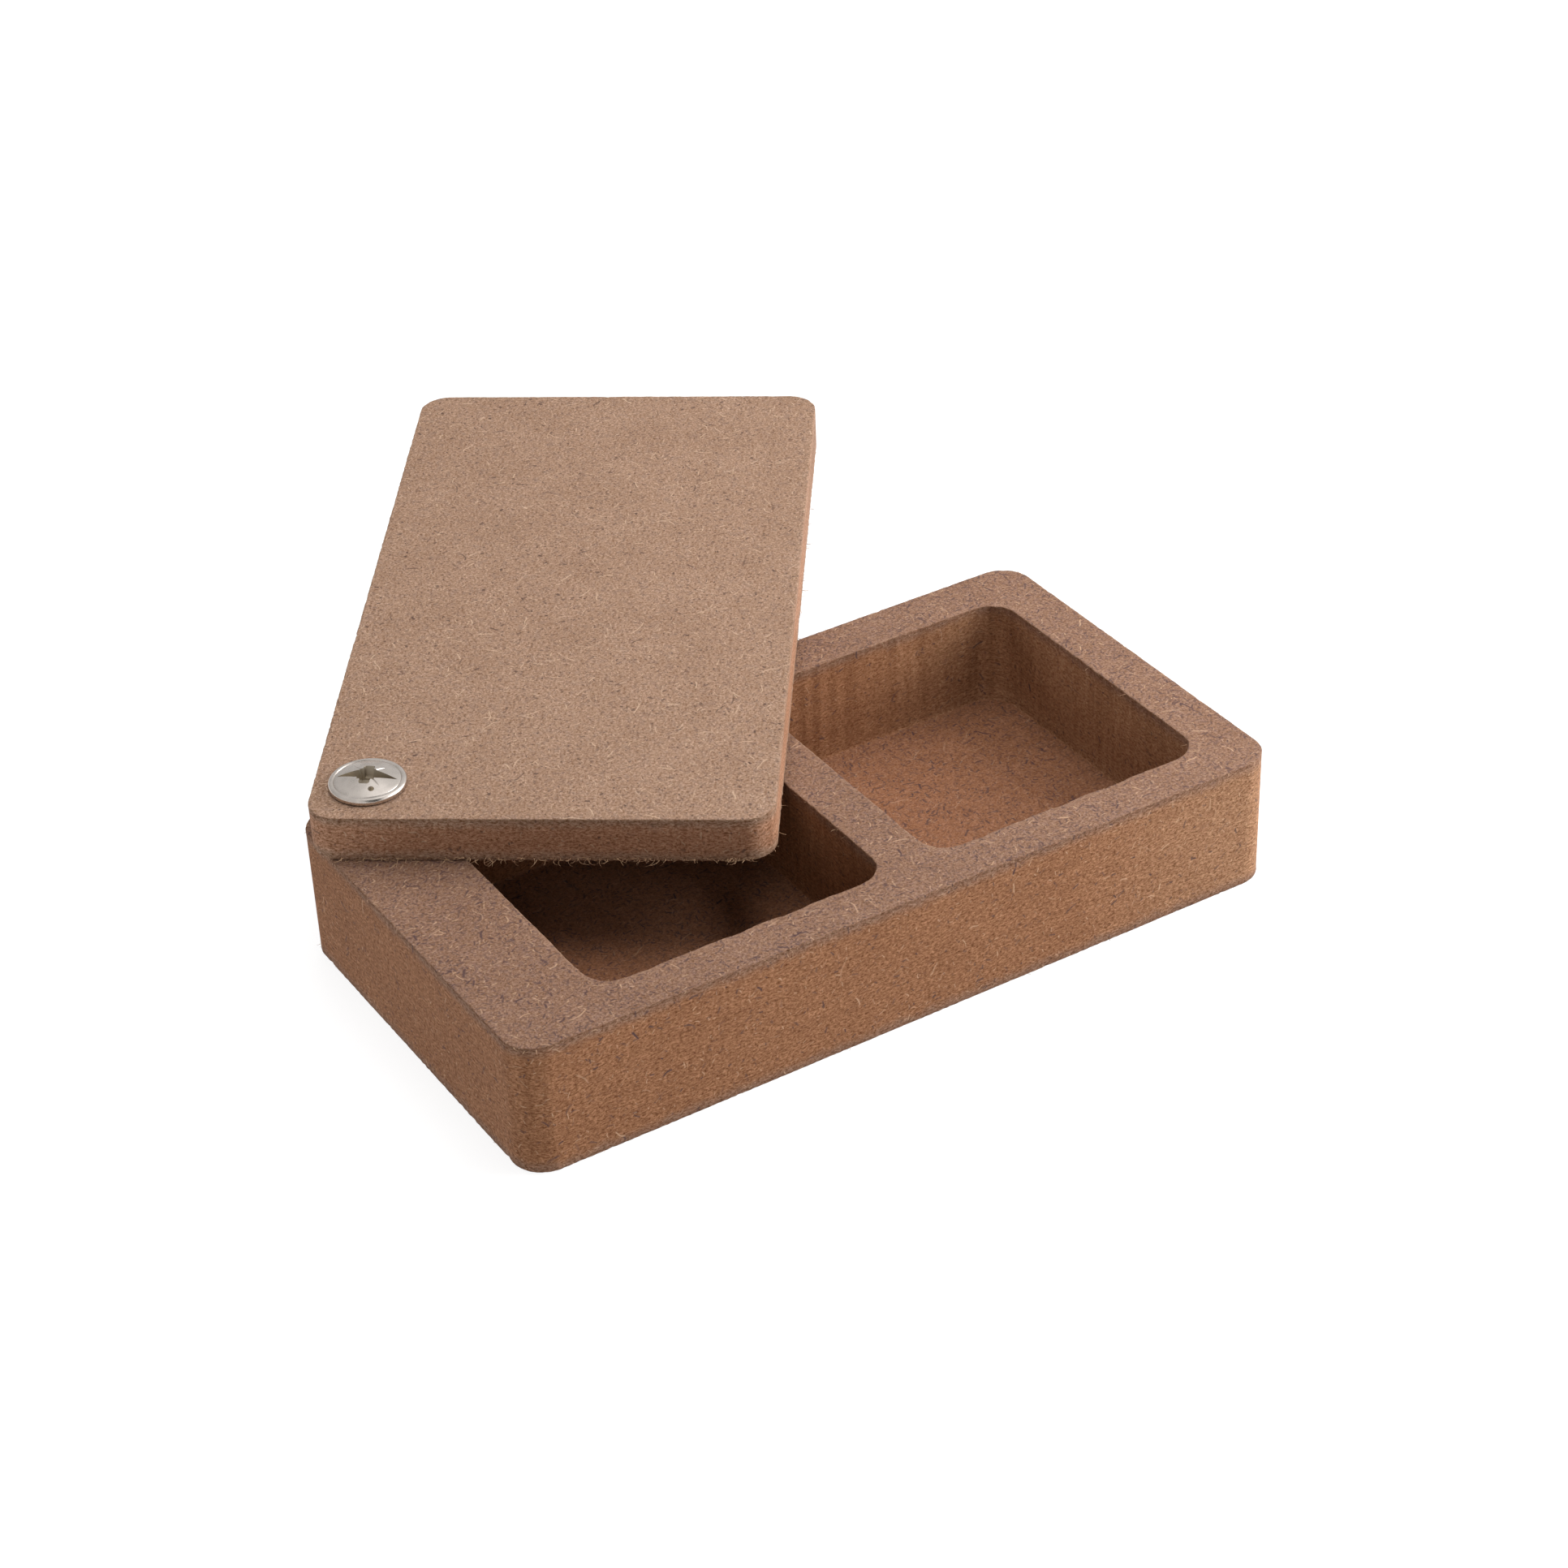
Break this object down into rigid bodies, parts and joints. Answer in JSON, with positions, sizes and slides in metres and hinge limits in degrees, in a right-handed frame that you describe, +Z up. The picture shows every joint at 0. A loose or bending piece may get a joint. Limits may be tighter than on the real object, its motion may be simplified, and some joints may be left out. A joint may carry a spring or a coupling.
{
  "type": "swivel-lid box",
  "caption": "Small fibreboard box with milled pockets under a flat lid that swivels sideways on one corner screw.",
  "frame": {"origin": "centre of the box's flat underside, which is the face it rests on", "axes": "+X along the box's long side, away from the pivot; +Y towards the back side, which is the side nearest the pivot; +Z up, out of the pockets"},
  "size_m": [0.1077, 0.1344, 0.0259],
  "materials": {
    "box_board": "bare fibreboard, milled faces",
    "lid_board": "bare fibreboard, sanded sheet faces",
    "nickel": "nickel plated, satin",
    "nut_nickel": "nickel plated, satin"
  },
  "bodies": {
    "box": {"box_body": "box_board", "pivot_screw": "nickel", "sleeve_nut": "nut_nickel"},
    "lid": {"lid": "lid_board"}
  },
  "joints": [
    {"name": "lid_swivel", "type": "hinge", "parent": "box", "child": "lid", "pos_m": [-0.0461, 0.0218, 0.0181], "axis": [0, 0, 1], "continuous": true}
  ]
}
